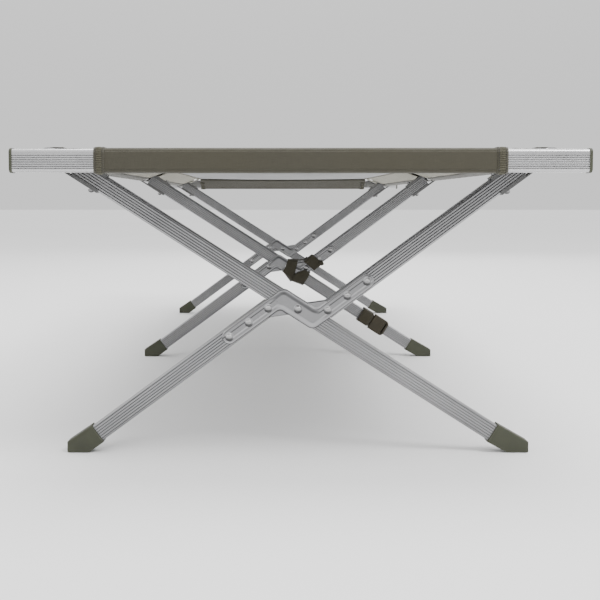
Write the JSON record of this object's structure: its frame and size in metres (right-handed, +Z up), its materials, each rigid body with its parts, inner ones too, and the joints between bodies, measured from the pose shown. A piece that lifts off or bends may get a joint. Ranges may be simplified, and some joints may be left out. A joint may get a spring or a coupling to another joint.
{
  "type": "folding cot",
  "caption": "Aluminium camp cot on crossed scissor legs, with hinged side rails, pull-off ribbed end bars, an olive fabric bed and a buckled strap.",
  "frame": {"origin": "on the floor under the middle of the bed", "axes": "+Y along the bed to the foot end, +Z up, -X to the side of the long legs' upper ends"},
  "size_m": [0.74, 1.9026, 0.431],
  "materials": {
    "rail_aluminium": "satin",
    "leg_aluminium": "satin",
    "bar_aluminium": "satin",
    "plate_steel": "zinc plated",
    "rivet_steel": "satin",
    "bracket_steel": "zinc plated",
    "hinge_steel": "zinc plated",
    "olive_plastic": "matte",
    "dark_plastic": "matte",
    "buckle_plastic": "matte",
    "olive_fabric": "woven",
    "webbing": "woven"
  },
  "bodies": {
    "left_rail_foot": {"left_foot_rail": "rail_aluminium", "left_foot_end_peg": "dark_plastic", "left_foot_hinge_fork": "hinge_steel", "left_foot_sleeve": "olive_fabric", "foot_panel": "olive_fabric"},
    "left_rail_head": {"left_head_rail": "rail_aluminium", "left_head_end_peg": "dark_plastic", "left_head_hinge_tongue": "hinge_steel", "left_head_sleeve": "olive_fabric", "head_panel": "olive_fabric"},
    "right_rail_foot": {"right_foot_rail": "rail_aluminium", "right_foot_end_peg": "dark_plastic", "right_foot_hinge_fork": "hinge_steel", "right_foot_sleeve": "olive_fabric"},
    "right_rail_head": {"right_head_rail": "rail_aluminium", "right_head_end_peg": "dark_plastic", "right_head_hinge_tongue": "hinge_steel", "right_head_sleeve": "olive_fabric"},
    "head_long": {"head_long_leg": "leg_aluminium", "head_long_bracket": "bracket_steel", "head_long_bracket_pin": "bracket_steel", "head_long_foot_cap": "olive_plastic"},
    "head_split": {"head_upper_half_leg": "leg_aluminium", "head_lower_half_leg": "leg_aluminium", "head_crank_plates": "plate_steel", "head_split_rivets": "rivet_steel", "head_split_bracket": "bracket_steel", "head_split_foot_cap": "olive_plastic"},
    "middle_long": {"middle_long_leg": "leg_aluminium", "middle_long_bracket": "bracket_steel", "middle_long_bracket_pin": "bracket_steel", "middle_long_foot_cap": "olive_plastic", "strap_webbing": "webbing", "buckle_socket": "buckle_plastic"},
    "middle_split": {"middle_upper_half_leg": "leg_aluminium", "middle_lower_half_leg": "leg_aluminium", "middle_crank_plates": "plate_steel", "middle_split_rivets": "rivet_steel", "middle_split_bracket": "bracket_steel", "middle_split_foot_cap": "olive_plastic"},
    "foot_long": {"foot_long_leg": "leg_aluminium", "foot_long_bracket": "bracket_steel", "foot_long_bracket_pin": "bracket_steel", "foot_long_foot_cap": "olive_plastic"},
    "foot_split": {"foot_upper_half_leg": "leg_aluminium", "foot_lower_half_leg": "leg_aluminium", "foot_crank_plates": "plate_steel", "foot_split_rivets": "rivet_steel", "foot_split_bracket": "bracket_steel", "foot_split_foot_cap": "olive_plastic"},
    "buckle_plug_half": {"buckle_plug": "buckle_plastic", "strap_loop": "webbing"},
    "head_bar": {"head_end_bar": "bar_aluminium", "head_bar_end_caps": "olive_plastic", "head_end_sleeve": "olive_fabric"},
    "foot_bar": {"foot_end_bar": "bar_aluminium", "foot_bar_end_caps": "olive_plastic", "foot_end_sleeve": "olive_fabric"}
  },
  "joints": [
    {"name": "fold", "type": "hinge", "parent": "left_rail_foot", "child": "foot_long", "pos_m": [-0.324, 0.828, 0.40921], "axis": [0, 1, 0], "range_deg": [0, 52], "deforming": ["head_panel", "foot_panel", "head_end_sleeve", "foot_end_sleeve", "strap_webbing"]},
    {"name": "foot_cross", "type": "hinge", "parent": "foot_long", "child": "foot_split", "pos_m": [0, 0.828, 0.202], "axis": [0, 1, 0], "range_deg": [-105, 0]},
    {"name": "foot_right_rail", "type": "hinge", "parent": "foot_split", "child": "right_rail_foot", "pos_m": [0.324, 0.828, 0.40921], "axis": [0, 1, 0], "range_deg": [0, 53]},
    {"name": "middle_leg", "type": "hinge", "parent": "left_rail_foot", "child": "middle_long", "pos_m": [-0.324, 0, 0.40921], "axis": [0, 1, 0], "range_deg": [0, 53]},
    {"name": "middle_cross", "type": "hinge", "parent": "middle_long", "child": "middle_split", "pos_m": [0, 0, 0.202], "axis": [0, 1, 0], "range_deg": [-105, 0]},
    {"name": "head_leg", "type": "hinge", "parent": "left_rail_head", "child": "head_long", "pos_m": [-0.324, -0.828, 0.40921], "axis": [0, 1, 0], "range_deg": [0, 53]},
    {"name": "head_cross", "type": "hinge", "parent": "head_long", "child": "head_split", "pos_m": [0, -0.828, 0.202], "axis": [0, 1, 0], "range_deg": [-105, 0]},
    {"name": "rail_fold", "type": "hinge", "parent": "left_rail_foot", "child": "left_rail_head", "pos_m": [-0.324, -0.02, 0.42651], "axis": [-1, 0, 0], "range_deg": [0, 180]},
    {"name": "right_rail_fold", "type": "hinge", "parent": "right_rail_foot", "child": "right_rail_head", "pos_m": [0.324, -0.02, 0.42651], "axis": [-1, 0, 0], "range_deg": [0, 181]},
    {"name": "head_bar_pull", "type": "slide", "parent": "left_rail_head", "child": "head_bar", "axis": [0, -1, 0], "range_m": [0, 0.022]},
    {"name": "foot_bar_pull", "type": "slide", "parent": "left_rail_foot", "child": "foot_bar", "axis": [0, 1, 0], "range_m": [0, 0.022]},
    {"name": "buckle_release", "type": "slide", "parent": "middle_long", "child": "buckle_plug_half", "axis": [-0.8425, 0, 0.5388], "range_m": [0, 0.034]}
  ],
  "couplings": [
    {"joint": "foot_cross", "follows": "fold", "ratio": -2},
    {"joint": "foot_right_rail", "follows": "fold", "ratio": 1},
    {"joint": "middle_leg", "follows": "fold", "ratio": 1},
    {"joint": "middle_cross", "follows": "fold", "ratio": -2},
    {"joint": "head_leg", "follows": "fold", "ratio": 1},
    {"joint": "head_cross", "follows": "fold", "ratio": -2},
    {"joint": "right_rail_fold", "follows": "rail_fold", "ratio": 1}
  ]
}
